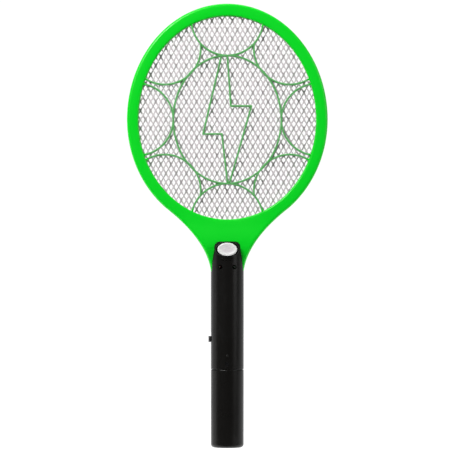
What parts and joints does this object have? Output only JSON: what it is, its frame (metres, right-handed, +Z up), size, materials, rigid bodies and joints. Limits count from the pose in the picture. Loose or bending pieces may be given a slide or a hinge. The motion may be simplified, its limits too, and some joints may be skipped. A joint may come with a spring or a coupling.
{
  "type": "electric fly swatter",
  "caption": "Racket-shaped electric fly swatter: oval head with three metal nets behind a ribbed guard, push button on the neck, round battery handle.",
  "frame": {"origin": "centre of the flat end of the handle, on the handle's axis, which the swatter stands on", "axes": "+Z runs up the handle to the head, the front face with the push button looks along -Y, +X is to the right when looking at the front"},
  "size_m": [0.208, 0.0354, 0.46],
  "materials": {
    "green_plastic": "bright green moulded plastic, glossy",
    "black_plastic": "black moulded plastic, satin",
    "knob_plastic": "black moulded plastic, satin",
    "white_plastic": "white moulded plastic",
    "net_metal": "expanded sheet, bright",
    "spacer_plastic": "natural moulded plastic",
    "screw_steel": "zinc-plated steel",
    "switch_plastic": "black switch body",
    "switch_metal": "folded sheet can",
    "board": "glass-epoxy board with green solder mask",
    "led_red": "tinted epoxy lens",
    "led_green": "tinted epoxy lens",
    "ferrite": "sintered ferrite",
    "copper_winding": "enamelled copper wire under tape",
    "capacitor_brown": "dipped film capacitor",
    "capacitor_blue": "dipped ceramic disc",
    "component_black": "moulded epoxy",
    "resistor_tan": "lacquered resistor body",
    "brass_lug": "tinned brass lug",
    "insulation_red": "wire insulation",
    "insulation_white": "wire insulation",
    "insulation_black": "wire insulation",
    "cradle_plastic": "black moulded plastic",
    "nickel_plate": "nickel-plated spring steel",
    "cell_jacket": null
  },
  "bodies": {
    "root": {"front_frame": "green_plastic", "rear_frame": "green_plastic", "front_net": "net_metal", "inner_net": "net_metal", "rear_net": "net_metal", "front_net_spacer": "spacer_plastic", "rear_net_spacer": "spacer_plastic", "frame_screws": "screw_steel", "handle_front_shell": "black_plastic", "handle_rear_shell": "black_plastic", "handle_screws": "screw_steel", "tact_switch": "switch_plastic", "circuit_board": "board", "led_left": "led_red", "led_right": "led_green", "transformer_core": "ferrite", "transformer_coil": "copper_winding", "output_capacitor": "capacitor_brown", "disc_capacitors": "capacitor_blue", "diodes": "component_black", "resistors": "resistor_tan", "transistor": "component_black", "front_net_terminal": "brass_lug", "inner_net_terminal": "brass_lug", "rear_net_terminal": "brass_lug", "lead_front_net": "insulation_red", "lead_inner_net": "insulation_white", "lead_rear_net": "insulation_red", "slide_switch": "switch_metal", "battery_cradle": "cradle_plastic", "positive_contact": "nickel_plate", "negative_contact": "nickel_plate", "bridge_contact": "nickel_plate", "upper_contact_spring": "nickel_plate", "lower_contact_spring": "nickel_plate", "battery_cell_left": "cell_jacket", "battery_cell_right": "cell_jacket", "lead_battery_positive": "insulation_red", "lead_battery_negative": "insulation_black", "lead_switch_to_board": "insulation_red", "cap_lock_screw": "screw_steel"},
    "button": {"push_button": "white_plastic", "switch_plunger": "switch_plastic"},
    "switch_knob": {"slide_switch_knob": "knob_plastic"},
    "cap": {"battery_cap": "black_plastic"}
  },
  "joints": [
    {"name": "push_button_press", "type": "slide", "parent": "root", "child": "button", "axis": [0, 1, 0], "range_m": [0, 0.0012], "stiffness_N_per_m": 1200, "springref_m": -0.0005},
    {"name": "power_switch_slide", "type": "slide", "parent": "root", "child": "switch_knob", "axis": [0, 0, 1], "range_m": [0, 0.004]},
    {"name": "battery_cap_pull", "type": "slide", "parent": "root", "child": "cap", "axis": [0, 0, -1], "range_m": [0, 0.085]}
  ]
}
